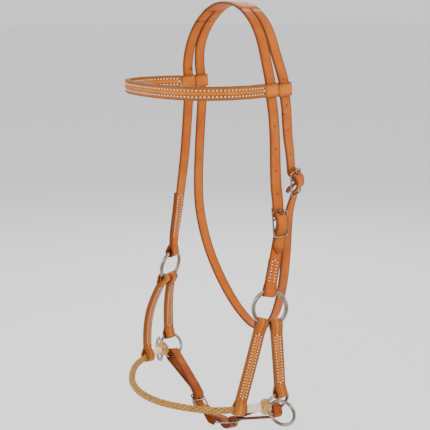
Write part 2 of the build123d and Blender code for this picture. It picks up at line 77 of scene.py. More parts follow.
def surroundings():
    world = bpy.data.worlds.new("studio")
    bpy.context.scene.world = world
    world.use_nodes = True
    world.node_tree.nodes["Background"].inputs["Color"].default_value = (1, 1, 1, 1)
    world.node_tree.nodes["Background"].inputs["Strength"].default_value = 1.0
    middle = (0, -0.03, -0.3)
    area_light("key", (1.3, -1.6, 1.1), middle, 1.2, 34, (1.0, 0.97, 0.92))
    area_light("fill", (1.6, 1.2, 0.3), middle, 1.6, 16)
    area_light("rim", (-1.5, 1.2, 1.0), middle, 1.2, 22)
    area_light("front", (-1.2, -1.6, 0.2), middle, 1.4, 14)
    mesh = bpy.data.meshes.new("floor")
    r, z = 60.0, -0.85
    mesh.from_pydata([(-r, -r, z), (r, -r, z), (r, r, z), (-r, r, z)], [], [(0, 1, 2, 3)])
    ground = bpy.data.objects.new("floor", mesh)
    bpy.context.collection.objects.link(ground)
    pale = bpy.data.materials.new("floor")
    pale.use_nodes = True
    shader = pale.node_tree.nodes["Principled BSDF"]
    shader.inputs["Base Color"].default_value = (0.93, 0.93, 0.93, 1)
    shader.inputs["Roughness"].default_value = 0.9
    shader.inputs["Specular IOR Level"].default_value = 0.1
    mesh.materials.append(pale)


# ---------------------------------------------------------------- materials
def linear(rgb):
    return tuple((c / 255 / 12.92) if c <= 10.3 else ((c / 255 + 0.055) / 1.055) ** 2.4 for c in rgb) + (1,)


class Look:
    """A node material under construction."""

    def __init__(self, name):
        self.material = bpy.data.materials.new(name)
        self.material.use_nodes = True
        self.nodes = self.material.node_tree.nodes
        self.links = self.material.node_tree.links
        self.shader = self.nodes["Principled BSDF"]
        self.place = self.add("ShaderNodeTexCoord").outputs["Object"]

    def add(self, kind, **values):
        node = self.nodes.new(kind)
        for key, value in values.items():
            setattr(node, key, value)
        return node

    def noise(self, scale, detail=3.0, roughness=0.55, stretch=None):
        node = self.add("ShaderNodeTexNoise")
        node.inputs["Scale"].default_value = scale
        node.inputs["Detail"].default_value = detail
        node.inputs["Roughness"].default_value = roughness
        source = self.place
        if stretch:
            turn = self.add("ShaderNodeMapping")
            turn.inputs["Scale"].default_value = stretch
            self.links.new(source, turn.inputs["Vector"])
            source = turn.outputs["Vector"]
        self.links.new(source, node.inputs["Vector"])
        return node.outputs["Fac"]

    def cells(self, scale, feature="F1"):
        node = self.add("ShaderNodeTexVoronoi", feature=feature)
        node.inputs["Scale"].default_value = scale
        self.links.new(self.place, node.inputs["Vector"])
        return node.outputs["Distance"]

    def spread(self, value, low, high, out_low=0.0, out_high=1.0):
        node = self.add("ShaderNodeMapRange")
        for key, number in (("From Min", low), ("From Max", high), ("To Min", out_low), ("To Max", out_high)):
            node.inputs[key].default_value = number
        self.links.new(value, node.inputs["Value"])
        return node.outputs["Result"]

    def mix(self, factor, a, b):
        node = self.add("ShaderNodeMix", data_type="RGBA")
        self.links.new(factor, node.inputs["Factor"])
        for socket, colour in ((node.inputs["A"], a), (node.inputs["B"], b)):
            if isinstance(colour, tuple):
                socket.default_value = colour
            else:
                self.links.new(colour, socket)
        return node.outputs["Result"]

    def mark(self, name):
        return self.add("ShaderNodeAttribute", attribute_name=name).outputs["Fac"]

    def bumps(self, *layers):
        normal = None
        for height, distance, strength in layers:
            node = self.add("ShaderNodeBump")
            node.inputs["Distance"].default_value = distance
            node.inputs["Strength"].default_value = strength
            self.links.new(height, node.inputs["Height"])
            if normal:
                self.links.new(normal, node.inputs["Normal"])
            normal = node.outputs["Normal"]
        self.links.new(normal, self.shader.inputs["Normal"])

    def set(self, **values):
        for key, value in values.items():
            socket = self.shader.inputs[key.replace("_", " ")]
            if isinstance(value, (int, float, tuple)):
                socket.default_value = value
            else:
                self.links.new(value, socket)


def leather(name, base, dark, pale, edge, rough=0.55):
    """Oiled strap leather: mottled, finely grained, burnished darker on its edges."""
    look = Look(name)
    mottle = look.spread(look.noise(42, 5), 0.32, 0.68)
    colour = look.mix(mottle, linear(dark), linear(base))
    cloudy = look.spread(look.noise(13, 3), 0.5, 0.75, 0.0, 0.55)
    colour = look.mix(cloudy, colour, linear(pale))
    specks = look.spread(look.cells(2300), 0.0, 0.28, 0.32, 0.0)
    colour = look.mix(specks, colour, linear(dark))
    worn = look.spread(look.mark("edge"), 0.0, 1.0, 0.0, 0.85)
    colour = look.mix(worn, colour, linear(edge))
    roughness = look.spread(look.noise(160, 4), 0.3, 0.7, rough - 0.08, rough + 0.1)
    look.set(Base_Color=colour, Roughness=roughness, Specular_IOR_Level=0.2)
    look.bumps((look.cells(1500, "SMOOTH_F1"), 0.00022, 0.35), (look.noise(3300, 2), 0.0001, 0.4),
               (look.noise(95, 4), 0.0006, 0.3))
    return look.material


def thread(name, base, dark):
    look = Look(name)
    fuzz = look.noise(2600, 2)
    look.set(Base_Color=look.mix(look.spread(fuzz, 0.35, 0.65), linear(dark), linear(base)),
             Roughness=0.75, Specular_IOR_Level=0.2)
    look.bumps((fuzz, 0.0001, 0.6))
    return look.material


def rawhide(name, base, dark, pale, rough=0.4):
    """Scraped rawhide lace: smooth and hard, with painted shade darkening the gaps between the laces."""
    look = Look(name)
    colour = look.mix(look.spread(look.noise(120, 4), 0.35, 0.65), linear(dark), linear(base))
    colour = look.mix(look.spread(look.noise(380, 3), 0.55, 0.75, 0.0, 0.6), colour, linear(pale))
    shadow = linear(tuple(c * 0.42 for c in dark))
    # Painted shade: the seam mark darkens gaps and recesses between laces and strands towards this shadow
    # colour.
    colour = look.mix(look.spread(look.mark("seam"), 0.0, 1.0, 0.0, 0.9), colour, shadow)
    roughness = look.spread(look.noise(500, 3), 0.3, 0.7, rough - 0.06, rough + 0.12)
    look.set(Base_Color=colour, Roughness=roughness, Specular_IOR_Level=0.45)
    look.bumps((look.noise(2400, 3), 0.00012, 0.5), (look.noise(300, 3), 0.0004, 0.25))
    return look.material


def nickel():
    """Warm polished nickel with fine handling scratches and slightly dull patches, its colour darkened to
    paint in the dark surroundings it would reflect.
    """
    look = Look("nickel")
    haze = look.noise(70, 4)
    # Both colours are darker than nickel, a painted reflection of dark surroundings; the patches between them
    # are random tone.
    colour = look.mix(look.spread(haze, 0.35, 0.7), linear((112, 99, 88)), linear((164, 152, 140)))
    look.set(Base_Color=colour, Metallic=1.0, Roughness=look.spread(look.noise(240, 4), 0.3, 0.7, 0.14, 0.3))
    look.bumps((look.noise(900, 3, stretch=(1, 6, 1)), 0.00005, 0.4))
    return look.material


# ---------------------------------------------------------------- meshes
def make(name, verts, faces, material, body, replaced=(), marks=None):
    mesh = bpy.data.meshes.new(name)
    mesh.from_pydata([tuple(c * MM for c in v) for v in verts], [], [tuple(f) for f in faces])
    mesh.validate()
    work = bmesh.new()
    work.from_mesh(mesh)
    bmesh.ops.recalc_face_normals(work, faces=work.faces)
    work.to_mesh(mesh)
    work.free()
    for polygon in mesh.polygons:
        polygon.use_smooth = len(polygon.vertices) == 4
    for key, values in (marks or {}).items():
        layer = mesh.attributes.new(key, "FLOAT", "POINT")
        layer.data.foreach_set("value", np.asarray(values, np.float32))
    mesh.materials.append(material)
    obj = bpy.data.objects.new(name, mesh)
    bpy.context.collection.objects.link(obj)
    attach(obj, body)
    if replaced:
        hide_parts(*replaced)
    return obj


def unit(v):
    v = np.asarray(v, float)
    return v / np.linalg.norm(v)


def across_from(azimuth):
    return np.array([cos(radians(azimuth)), sin(radians(azimuth)), 0.0])


def rounded(points, hints, cuts, run=5.0, arc=7):
    """Line through the points with rounded corners; hints are carried along it."""
    points, hints = [np.asarray(p, float) for p in points], [np.asarray(h, float) for h in hints]
    line, carried = [points[0]], [hints[0]]

    def straight_to(point, hint):
        start, first = line[-1], carried[-1]
        parts = max(1, int(np.linalg.norm(point - start) / run))
        for k in range(1, parts + 1):
            line.append(start + (point - start) * k / parts)
            carried.append(first + (hint - first) * k / parts)

    for i in range(1, len(points) - 1):
        before, after = points[i - 1] - points[i], points[i + 1] - points[i]
        cut = min(cuts[i - 1], 0.499 * np.linalg.norm(before), 0.499 * np.linalg.norm(after))
        a, b = points[i] + unit(before) * cut, points[i] + unit(after) * cut
        share_a, share_b = cut / np.linalg.norm(before), cut / np.linalg.norm(after)
        hint_a = hints[i] + (hints[i - 1] - hints[i]) * share_a
        hint_b = hints[i] + (hints[i + 1] - hints[i]) * share_b
        straight_to(a, hint_a)
        for k in range(1, arc + 1):
            t = k / arc
            line.append((1 - t) ** 2 * a + 2 * t * (1 - t) * points[i] + t * t * b)
            carried.append(hint_a * (1 - t) + hint_b * t)
    straight_to(points[-1], hints[-1])
    keep = [0] + [k for k in range(1, len(line)) if np.linalg.norm(line[k] - line[k - 1]) > 1e-4]
    return np.array([line[k] for k in keep]), np.array([carried[k] for k in keep])


def frames(line, hints, closed=False):
    """Across and outward directions at every point of a line."""
    if closed:
        ways = np.roll(line, -1, 0) - np.roll(line, 1, 0)
    else:
        ways = np.gradient(line, axis=0)
    ways = ways / np.linalg.norm(ways, axis=1)[:, None]
    across = hints - ways * np.sum(hints * ways, axis=1)[:, None]
    across = across / np.linalg.norm(across, axis=1)[:, None]
    return ways, across, np.cross(ways, across)


def lengths(line):
    return np.concatenate([[0], np.cumsum(np.linalg.norm(np.diff(line, axis=0), axis=1))])


def quarter(half, ht, edge, crease):
    rim = [(half - edge + edge * cos(a), ht - edge + edge * sin(a), 1.0) for a in np.linspace(0, pi / 2, 5)]
    groove = [(crease + 0.6, ht, 0.3), (crease + 0.22, ht - 0.25, 0.6), (crease - 0.22, ht - 0.25, 0.6),
              (crease - 0.6, ht, 0.1)]
    return rim + groove + [(half * 0.4, ht + 0.06, 0.0), (0.0, ht + 0.09, 0.0)]


def section(width, thickness, inset):
    """Closed profile of a strap: rounded edges, a crease near each edge, a slightly full face."""
    half, ht = width / 2, thickness / 2
    edge = min(1.05, ht * 0.75)
    q = quarter(half, ht, edge, half - inset)
    left_top = [(-x, y, e) for x, y, e in reversed(q[:-1])]
    left_low = [(-x, -y, e) for x, y, e in q]
    right_low = [(x, -y, e) for x, y, e in reversed(q[:-1])]
    return np.array(q + left_top + left_low + right_low)


def strip(name, line, hints, body, material, replaced=(), width=STRAP, thickness=LEATHER, closed=False,
          ends=(True, True), tips=(0, 0), shift=None, inset=1.7):
    """Sweeps a strap along a line. tips are the lengths of its pointed ends, 0 for a square one;
    shift(x, k) is how far the point x across it at the line's point k moves along it."""
    ways, across, out = frames(line, hints, closed)
    profile = section(width, thickness, inset)
    run = lengths(line)
    rows = []
    for k in range(len(line)):
        narrow = 1.0
        for tip, reach in ((tips[0], run[k]), (tips[1], run[-1] - run[k])):
            if tip and reach < tip:
                narrow = min(narrow, 0.1 + 0.9 * (reach / tip) ** 0.85)
        rows.append((line[k], ways[k], across[k], out[k], narrow, 1.0, k))
    if not closed:
        for end, sign in ((0, -1), (-1, 1)):
            if ends[end]:
                p, w, a, o, gx, gy, k = rows[end]
                extra = []
                for step, small in ((0.0, 1.0), (0.45, 0.93), (0.7, 0.78)):  # rounds off the last 0.7 mm
                    extra.append((p + w * sign * (step - 0.7), w, a, o, gx * (1 - (1 - small) * 0.35),
                                  gy * small, k))
                if end == 0:
                    rows = extra[::-1] + rows[1:]
                else:
                    rows = rows[:-1] + extra
    count = len(profile)
    verts, marks = [], []
    for p, w, a, o, gx, gy, k in rows:
        for x, y, e in profile:
            moved = shift(x * gx, k) if shift else 0.0
            verts.append(p + a * (x * gx) + o * (y * gy) + w * moved)
            marks.append(e if 0.99 < gx else max(e, 0.6))
    faces = []
    spans = len(rows) if closed else len(rows) - 1
    for i in range(spans):
        j = (i + 1) % len(rows)
        for m in range(count):
            n = (m + 1) % count
            faces.append((i * count + m, i * count + n, j * count + n, j * count + m))
    if not closed:
        faces.append(tuple(range(count)))
        faces.append(tuple(range((len(rows) - 1) * count, len(rows) * count)))
    return make(name, verts, faces, material, body, replaced, {"edge": marks})


def capsule():
    """A stitch along x, one unit long and one unit in radius at its middle."""
    verts, faces, around = [], [], 7
    for x, r in ((-0.5, 0.15), (-0.42, 0.7), (-0.2, 0.97), (0.2, 0.97), (0.42, 0.7), (0.5, 0.15)):
        verts += [(x, r * cos(2 * pi * k / around), r * sin(2 * pi * k / around)) for k in range(around)]
    for i in range(5):
        for k in range(around):
            n = (k + 1) % around
            faces.append((i * around + k, i * around + n, (i + 1) * around + n, (i + 1) * around + k))
    faces += [tuple(range(around)), tuple(range(5 * around, 6 * around))]
    return np.array(verts), faces


CAPSULE = capsule()


def on_row(points, outs, run, s, reach):
    """Place, way and outward direction at distance s along a row."""
    back, here, ahead = [np.array([np.interp(s + step, run, points[:, c]) for c in range(3)])
                         for step in (-reach, 0, reach)]
    way = unit(ahead - back)
    out = np.array([np.interp(s, run, outs[:, c]) for c in range(3)])
    return here, way, unit(out - way * out.dot(way))


def capsules(rows, pitch, between, reach, long, radius, deep, bow, lift):
    """A capsule at each stitch of the rows, or at each hole, which comes before and after a stitch."""
    verts, faces = [], []
    for points, outs in rows:
        points, outs = np.asarray(points, float), np.asarray(outs, float)
        run = lengths(points)
        number = max(1, int(run[-1] / pitch))
        marks = np.arange(number) + 0.5 if between else np.arange(number + 1)
        for mark in marks:
            here, way, out = on_row(points, outs, run, mark * run[-1] / number, reach)
            side = np.cross(out, way)
            start = len(verts)
            for x, y, z in CAPSULE[0]:
                high = z * deep + bow * (1 - (2 * x) ** 2) + lift
                verts.append(here + way * x * long + side * y * radius + out * high)
            faces += [tuple(start + i for i in face) for face in CAPSULE[1]]
    return verts, faces


def stitches(name, rows, body, length=2.1, pitch=3.8):
    """Rows are (points, outward directions) on the surface; every row is sewn along its length."""
    thick = 0.7
    verts, faces = capsules(rows, pitch, True, 1.0, length, thick, thick * 0.85, 0.16, 0.0)
    make(name, verts, faces, WHITE_THREAD, body)
    # Dark capsule at each hole: painted shade of the hole round the thread.
    verts, faces = capsules(rows, pitch, False, 0.5, 1.7, 0.74, 0.3, 0.0, 0.05)
    make(name + "_painted_hole_shade", verts, faces, HOLE_SHADE, body)


def seam_rows(line, hints, first, last, offset, lift):
    """Rows near a strap's edges and across their ends, first on one face and then on the other."""
    run = lengths(line)
    marks = np.linspace(first, last, max(4, int(abs(last - first) / 2)))
    pick = np.array([[np.interp(m, run, line[:, c]) for c in range(3)] for m in marks])
    hint = np.array([[np.interp(m, run, hints[:, c]) for c in range(3)] for m in marks])
    _, across, out = frames(pick, hint)
    rows = []
    for face in (1, -1):
        for side in (1, -1):
            rows.append((pick + across * offset * side + out * (lift * face), out * face))
        for end in (0, -1):
            inner = [pick[end] + across[end] * offset * t + out[end] * lift * face for t in (-0.7, 0, 0.7)]
            rows.append((inner, [out[end] * face] * 3))
    return rows


def tube_parts(line, radii, around, squash=1.0, closed=False, hints=None):
    if hints is None:
        normal = np.cross(line[1] - line[0], (0.3, 0.2, 0.93))
        ups = []
        for k in range(len(line)):
            if closed:
                way = unit(line[(k + 1) % len(line)] - line[k - 1])
            else:
                way = unit(line[min(k + 1, len(line) - 1)] - line[max(k - 1, 0)])
            normal = unit(normal - way * normal.dot(way))
            ups.append(normal)
        hints = np.array(ups)
    _, first, second = frames(line, hints, closed)
    angles = np.linspace(0, 2 * pi, around, endpoint=False)
    ring = (np.cos(angles)[None, :, None] * first[:, None, :]
            + np.sin(angles)[None, :, None] * second[:, None, :] * squash)
    verts = (line[:, None, :] + ring * np.asarray(radii)[:, None, None]).reshape(-1, 3)
    faces = []
    spans = len(line) if closed else len(line) - 1
    for i in range(spans):
        j = (i + 1) % len(line)
        for k in range(around):
            n = (k + 1) % around
            faces.append((i * around + k, i * around + n, j * around + n, j * around + k))
    if not closed:
        faces += [tuple(range(around)), tuple(range((len(line) - 1) * around, len(line) * around))]
    return verts, faces


def gather(parts):
    verts, faces = [], []
    for more, those in parts:
        start = len(verts)
        verts += [tuple(v) for v in more]
        faces += [tuple(start + i for i in face) for face in those]
    return verts, faces


def cut(obj, tool_parts, overlapping=False):
    """Cuts closed tubes out of an object's mesh."""
    verts, faces = gather(tool_parts)
    mesh = bpy.data.meshes.new("cutter")
    mesh.from_pydata([tuple(c * MM for c in v) for v in verts], [], faces)
    work = bmesh.new()
    work.from_mesh(mesh)
    bmesh.ops.recalc_face_normals(work, faces=work.faces)
    work.to_mesh(mesh)
    work.free()
    tool = bpy.data.objects.new("cutter", mesh)
    bpy.context.collection.objects.link(tool)
    step = obj.modifiers.new("cut", "BOOLEAN")
    step.operation, step.object, step.solver = "DIFFERENCE", tool, "EXACT"
    step.use_self = overlapping
    bpy.context.view_layer.update()
    graph = bpy.context.evaluated_depsgraph_get()
    done = bpy.data.meshes.new_from_object(obj.evaluated_get(graph))
    obj.modifiers.remove(step)
    old, obj.data = obj.data, done
    done.name = obj.name
    bpy.data.meshes.remove(old)
    bpy.data.objects.remove(tool)
    bpy.data.meshes.remove(mesh)


def punch(obj, places):
    reach = np.array([9.0, 0, 0])
    cut(obj, [tube_parts(np.array([place - reach, place + reach]), [HOLE] * 2, 20) for place in places])


# ---------------------------------------------------------------- places shared with the frame
class Plane:
    def __init__(self, origin, x, z):
        self.o, self.x, self.z = np.asarray(origin, float), unit(x), unit(z)
        self.y = np.cross(self.z, self.x)

    def at(self, x, y, z=0.0):
        return self.o + self.x * x + self.y * y + self.z * z


def flat(vector, normal):
    vector, normal = np.asarray(vector, float), unit(normal)
    return unit(vector - normal * vector.dot(normal))


def side_ring_plane(side):
    azimuth, tilt = radians(68), radians(10)
    normal = np.array([side * sin(azimuth) * cos(tilt), -cos(azimuth) * cos(tilt), sin(tilt)])
    up = flat((0, 0, 1), normal)
    rear = flat(flat((0, 1, 0), normal), up)
    return Plane((side * 122.0, -26, -383), rear, np.cross(rear, up))


RING = {side: side_ring_plane(side) for side in SIDES}
KNOT = {1: np.array([130.0, -39, -515.5]), -1: np.array([-130.0, -39, -519.5])}
ROPE_WAY = {side: np.array([-side * 0.342, -0.940, 0.0]) for side in SIDES}


def jaw_plane(side):
    lean = np.array([side * sin(radians(24)), 0, cos(radians(24))])
    return Plane(KNOT[side] + (side * 1.5, 19, 2), (0, 1, 0), np.cross((0, 1, 0), lean))


JAW = {side: jaw_plane(side) for side in SIDES}


def rein_plane(side):
    held, way, normal = {1: ((134.4, -33.8, -517.0), (0.518, 0.768, -0.375), (0.618, -0.033, 0.786)),
                         -1: ((-135.2, -34.8, -522.1), (-0.892, 0.260, -0.371), (0.300, 0.952, -0.054))}[side]
    way = unit(way)
    return Plane(np.array(held) + way * SMALL_RING, way, flat(normal, way))


def hanging(top, way, azimuth):
    along = unit(way)
    out = flat((sin(radians(azimuth)), -cos(radians(azimuth)), 0), along)
    return Plane(top, along, np.cross(along, out))


CHIN_EYE = {side: JAW[side].at(0, -SMALL_RING) for side in SIDES}
CHIN = Plane((0, CHIN_EYE[1][1], -530), (1, 0, 0), (0, 0.99, -0.14))


def chin_plane(side):
    (right, down), slope = {1: ((48.0, 44.5), 22.0), -1: ((-53.0, 40.0), 32.0)}[side]
    s = radians(slope)
    along = CHIN.x * (-side * cos(s)) + CHIN.y * sin(s)
    out = CHIN.x * (side * sin(s)) + CHIN.y * cos(s)
    return Plane(CHIN.at(right, down), along, np.cross(along, out))


BUCKLE = {"cheek": hanging((105.3, 1.0, -259.0), (0.088, 0.028, -0.996), 78),
          "throat": hanging((108.0, 24.3, -208.3), (-0.172, 0.209, -0.963), 104),
          "near_chin": chin_plane(1), "off_chin": chin_plane(-1)}
BUCKLE_BODY = {"cheek": "headstall", "throat": "headstall",
               "near_chin": "chin_strap", "off_chin": "chin_strap"}
# The two leathers through a buckle, as (along, outwards) in its plane. Both go behind its end bars and
# over its middle bar, with OUTER in front of INNER.
OUTER = [(2.2, -3.9), (7.4, 5.8), (13, 7.5), (20, 6.8), (25.5, 2.6), (30.5, -2.4), (38, -4.0)]
OUTER_CUT = [1.3, 1.2, 1.7, 1.6, 3.0, 3.1]
INNER = [(4.0, -7.0), (9.4, 2.95), (13.4, 4.4), (18.6, 3.7), (24, -0.8), (28.8, -5.6), (38, -7.6)]
INNER_CUT = [2.0, 0.9, 2.0, 2.2, 3.2, 3.3]


# ---------------------------------------------------------------- headstall
FRONT_CROWN = [(40, -8.7, -3.4), (54, -9.2, -12.5), (66, -10, -23.2), (77, -10.9, -38), (86, -11.8, -56.5),
               (92.5, -11.2, -78), (94.9, -9.0, -93), (95.3, -7.8, -112)]
REAR_CROWN = [(40, 7.7, -3.4), (54, 7.3, -12.5), (66, 6.6, -23.2), (77, 5.6, -38), (86, 5.4, -56.5),
              (92.5, 9.2, -78), (94.9, 12.9, -93), (95.3, 14.6, -112)]


def hang(stations):
    """Points and across directions of stations (x, y, z[, azimuth])."""
    points = [s[:3] for s in stations]
    return points, [across_from(s[3] if len(s) > 3 else 90) for s in stations]


def other_side(points):
    return [(-x, y, z) for x, y, z in points]


def loop(radius, start, end):
    """Line round an eye, as (distance before the eye, outwards), from height start to height end."""
    def leg(height):
        way = 1 if height > 0 else -1
        return [(14, height), (10, height + 0.1 * way), (radius + 4, height + 0.9 * way)]

    sign = 1 if start > 0 else -1
    angles = [radians(a) for a in np.linspace(125, -125, 17)]
    return leg(start) + [(-radius * cos(a), sign * radius * sin(a)) for a in angles] + leg(end)[::-1]


def circle(plane, radius, count):
    return np.array([plane.at(radius * cos(t), radius * sin(t))
                     for t in np.linspace(0, 2 * pi, count, endpoint=False)])


def divided(corners, step):
    """Points round a closed outline, each long side divided into runs of one to two steps."""
    points = []
    for k in range(len(corners)):
        a, b = np.array(corners[k]), np.array(corners[(k + 1) % len(corners)])
        pieces = max(1, int(np.linalg.norm(b - a) / step))
        points += [a + (b - a) * m / pieces for m in range(pieces)]
    return points


def add_eye(points, hints, cuts, eye, way, out, turned):
    """Carries a strap round a side ring; turned(distance before the eye) is its across direction."""
    for back, high in loop(CHEEK_EYE, HALF, -HALF):
        points.append(eye - way * back + out * high)
        hints.append(turned(back))
        cuts.append(1.2)


def eased(points, per=4):
    """Smooth line through 2-D or 3-D points (Catmull-Rom)."""
    p = [np.asarray(q, float) for q in points]
    p = [2 * p[0] - p[1]] + p + [2 * p[-1] - p[-2]]
    line = []
    for i in range(1, len(p) - 2):
        for k in range(per):
            t = k / per
            line.append(0.5 * (2 * p[i] + (p[i + 1] - p[i - 1]) * t
                               + (2 * p[i - 1] - 5 * p[i] + 4 * p[i + 1] - p[i + 2]) * t * t
                               + (3 * p[i] - p[i - 1] - 3 * p[i + 1] + p[i + 2]) * t ** 3))
    line.append(p[-2])
    return np.array(line)


def tongue_bore(plane):
    start, end = plane.at(0.5, 1.7), plane.at(11.8, 2.8)
    return tube_parts(np.array([start, end]), [1.8, 1.8], 20)


def crown():
    half = [(0, -0.5, 6.1), (13, -0.5, 5.3), (27, -0.5, 2.1), (40, -0.5, -3.4)]
    points = [(-x, y, z) for x, y, z in half[:0:-1]] + half
    line, hints = rounded(points, [across_from(90)] * len(points), [BIG] * 5)
    strip("crown_poll", line, hints, "headstall", TAN, ["crown_poll"], width=32.5,
          ends=(False, False))


def near_cheek_billet():
    plane = BUCKLE["cheek"]
    points, hints = hang(FRONT_CROWN + [
        (96.4, -5.6, -127), (97.4, -4, -145), (98.6, -3, -168, 88), (99.6, -3, -191, 85),
        (100.2, -2.4, -215, 82), (100.5, -1, -232, 79)])
    cuts = [BIG] * (len(points) - 1) + [8] + OUTER_CUT + [4]
    for point in [(-14, -3.9)] + OUTER:
        points.append(plane.at(*point))
        hints.append(-plane.z)
    points.append(plane.at(*OUTER[-1]) + unit(NEAR_EYE + FACE_OUT * HALF - plane.at(*INNER[-1])) * 20)
    hints.append(across_from(74.6))
    line, hints = rounded(points, hints, cuts)
    obj = strip("near_cheek_billet", line, hints, "headstall", TAN, ["near_cheek_billet"],
                ends=(False, True), tips=(0, BILLET_POINT))
    punch(obj, [(97.5, -4.2, -149), (98.9, -3.0, -178), (99.8, -2.6, -207), (100.5, -0.8, -237)])
    cut(obj, [tongue_bore(plane)])


def near_throat_billet():
    plane = BUCKLE["throat"]
    points, hints = hang(REAR_CROWN + [
        (96.3, 16.7, -127), (97.4, 17, -142, 92), (99, 18, -165, 95), (101.3, 19.6, -182, 99)])
    cuts = [BIG] * (len(points) - 1) + [6, 4, 2.0, 0.9, 1.0, 1.3, 2.4]
    for point in [(-8, -7.0)] + INNER[:2] + [(13.5, 4.2), (17.5, 1.5), (23, -7), (36, -14)]:
        points.append(plane.at(*point))
        hints.append(-plane.z)
    line, hints = rounded(points, hints, cuts)
    obj = strip("near_throat_billet", line, hints, "headstall", TAN, ["near_throat_billet"],
                ends=(False, True), tips=(0, BILLET_POINT))
    punch(obj, [(94.6, 12.4, -91), (96.2, 16.2, -124), (98.2, 17.6, -155.6), (101.6, 19.9, -186)])
    cut(obj, [tongue_bore(plane)])


NEAR_EYE, OFF_EYE = RING[1].at(0, SIDE_RING), RING[-1].at(0, SIDE_RING)
FACE_OUT = np.array([sin(radians(68)), -cos(radians(68)), 0])
BILLET_POINT = 6.5


def sew_lap(name, seam, bits, start, offset, lift, drop):
    """Stitch rows on the outer face of a lap, and again on the face under it, a drop away."""
    total = lengths(seam)[-1]
    rows = seam_rows(seam, bits, start, total, offset, lift)[:4]
    under = seam_rows(seam - drop, bits, start, total, offset, lift)[4:]
    stitches(name, rows + under, "headstall")


def near_lower_cheek():
    plane = BUCKLE["cheek"]
    top = plane.at(*INNER[-1])
    reach = NEAR_EYE + FACE_OUT * HALF - top
    way = unit(reach)
    across = flat(across_from(68), way)
    out = np.cross(way, across)
    drop = out * 2 * HALF

    def facing(part):
        return across_from(77 - 9 * part)

    def turned(back):
        near = 0.45 * max(0.0, 1 - max(0.0, back) / 14)
        return across * (1 - near) + RING[1].x * near

    points = [plane.at(-4, -7.0)] + [plane.at(*p) for p in INNER] + [top + reach * 0.3]
    hints = [-plane.z] * (len(points) - 1) + [facing(0.3)]
    cuts = INNER_CUT + [3.3, 6]
    add_eye(points, hints, cuts, NEAR_EYE, way, out, turned)
    for part in (0.7, 0.4):
        points.append(top + reach * part - drop)
        hints.append(facing(part))
        cuts.append(6)
    line, hints = rounded(points, hints, cuts, arc=4)
    obj = strip("near_lower_cheek", line, hints, "headstall", TAN, ["near_lower_cheek"])
    cut(obj, [tongue_bore(plane)])
    parts = (0.42, 0.6, 0.8, 0.84)
    seam, bits = np.array([top + reach * p for p in parts]), np.array([facing(p) for p in parts])
    sew_lap("near_lower_cheek_stitches", seam, bits, 0, 3.3, LEATHER / 2 + 0.02, drop)


def off_cheek():
    lap = [((-115, -21, -330), 106), ((-111, -18, -299), 101), ((-107.6, -16, -269), 97)]
    points, hints = hang(other_side(FRONT_CROWN) + [
        (-96, -7.6, -124), (-96.8, -8.5, -145), (-98.5, -9.5, -170, 91), (-101, -12, -213, 92),
        (-103.8, -14.3, -240, 94), (-107, -15.8, -265, 97), (-111, -18, -299, 101), (-115, -21, -330, 106)])
    way = unit(OFF_EYE - np.array(points[-1], float))
    across = flat(across_from(112), way)
    out = np.cross(way, across)
    drop = out * 2 * HALF

    def turned(back):
        near = max(0.0, 1 - back / 14)
        return across * (1 - near) + RING[-1].x * near

    cuts = [BIG] * (len(points) - 1)
    add_eye(points, hints, cuts, OFF_EYE, way, out, turned)
    for place, azimuth in lap:
        points.append(np.array(place) - drop)
        hints.append(across_from(azimuth))
        cuts.append(8)
    line, hints = rounded(points, hints, cuts, arc=4)
    strip("off_cheek_strap", line, hints, "headstall", TAN, ["off_cheek_strap"],
          ends=(False, True))
    seam, bits = rounded([p for p, _ in lap[::-1]] + [OFF_EYE - way * 16],
                         [across_from(a) for _, a in lap[::-1]] + [across], [8, 8])
    sew_lap("off_cheek_stitches", seam, bits, 2, 4.0, LEATHER / 2 + 0.05, drop)


def throatlatch():
    plane = BUCKLE["throat"]
    points, hints = hang(other_side(REAR_CROWN) + [
        (-96, 16.4, -124), (-98, 16.5, -143), (-101, 16, -175), (-104, 16, -210), (-105.5, 15, -250),
        (-104, 15, -290), (-96, 18, -330), (-84, 24.5, -370), (-64, 33.5, -410), (-37, 41, -443),
        (0, 45, -462), (30.7, 41, -450), (55.4, 36, -427), (72.3, 31, -397.5), (85.7, 26, -364),
        (92, 23.5, -336), (94, 23.5, -311, 91), (94, 24.5, -284, 94), (94.8, 26.8, -262, 99)])
    cuts = [BIG] * (len(points) - 1) + [3.1] + OUTER_CUT[::-1] + [1.3]
    for point in OUTER[::-1] + [(-1.5, -3.9)]:
        points.append(plane.at(*point))
        hints.append(-plane.z)
    line, hints = rounded(points, hints, cuts)
    obj = strip("throatlatch", line, hints, "headstall", TAN,
                ["off_throat_strap", "throatlatch"], ends=(False, True))
    cut(obj, [tongue_bore(plane)])


# ---------------------------------------------------------------- browband
def browband():
    front = [(96.9, -20.8), (103.5, -46), (103, -82), (84, -117), (44, -134), (0, -137.5)]
    points = [(x, y, BROWBAND_LEVEL) for x, y in front + [(-x, y) for x, y in front[-2::-1]]]
    line, hints = rounded(points, [(0, 0, -1)] * len(points), [17, 15, 16, 18, 18, 18, 16, 15, 17], run=4)
    _, _, out = frames(line, hints)
    outward = out if out[len(out) // 2][1] < 0 else -out
    for shift, name, replaced in ((HALF, "browband_front", ["browband"]), (-HALF, "browband_lining", [])):
        strip(name, line + outward * shift, hints, "browband", LIGHT, replaced, width=17.0,
              inset=4.7)
    rows = seam_rows(line, hints, 3, lengths(line)[-1] - 3, 3.8, HALF + LEATHER / 2 - THREAD_SINK)
    stitches("browband_stitches", rows, "browband", length=2.8, pitch=5.0)
    for side, word in SIDES.items():
        for number, (back, slant) in enumerate(((-8.4, 0.08), (13.9, 0.1))):
            browband_loop(side, f"{word}_browband_loop_{number + 1}", back, slant,
                          [word + "_browband_loops"] if number == 0 else [])


